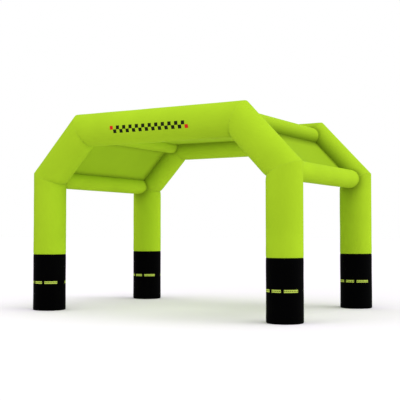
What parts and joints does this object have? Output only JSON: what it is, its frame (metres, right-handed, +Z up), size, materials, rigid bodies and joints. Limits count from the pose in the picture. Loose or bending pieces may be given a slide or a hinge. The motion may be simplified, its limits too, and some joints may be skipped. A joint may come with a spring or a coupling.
{
  "type": "inflatable arch",
  "caption": "Air-filled event arch shelter: two angular tube arches on black-footed legs, joined by cross tubes, with cloth panels over the slopes and the roof.",
  "frame": {"origin": "on the ground, at the middle of the four legs", "axes": "+X across the arches to the right, +Y from the front arch to the rear arch, +Z up"},
  "size_m": [6.02, 4.32, 4.01],
  "materials": {
    "green_cloth": "coated polyester, yellow-green, satin",
    "panel_cloth": "single coated polyester sheet, yellow-green, satin",
    "black_cloth": "coated polyester, black, satin, with plain printed bars"
  },
  "bodies": {
    "root": {"front_left_base": "black_cloth", "front_left_leg": "green_cloth", "front_left_shoulder": "green_cloth", "front_top": "green_cloth", "front_right_shoulder": "green_cloth", "front_right_leg": "green_cloth", "front_right_base": "black_cloth", "rear_left_base": "black_cloth", "rear_left_leg": "green_cloth", "rear_left_shoulder": "green_cloth", "rear_top": "green_cloth", "rear_right_shoulder": "green_cloth", "rear_right_leg": "green_cloth", "rear_right_base": "black_cloth", "left_eave_tube": "green_cloth", "left_ridge_tube": "green_cloth", "right_ridge_tube": "green_cloth", "right_eave_tube": "green_cloth", "left_slope_panel": "panel_cloth", "roof_panel": "panel_cloth", "right_slope_panel": "panel_cloth"}
  },
  "joints": []
}
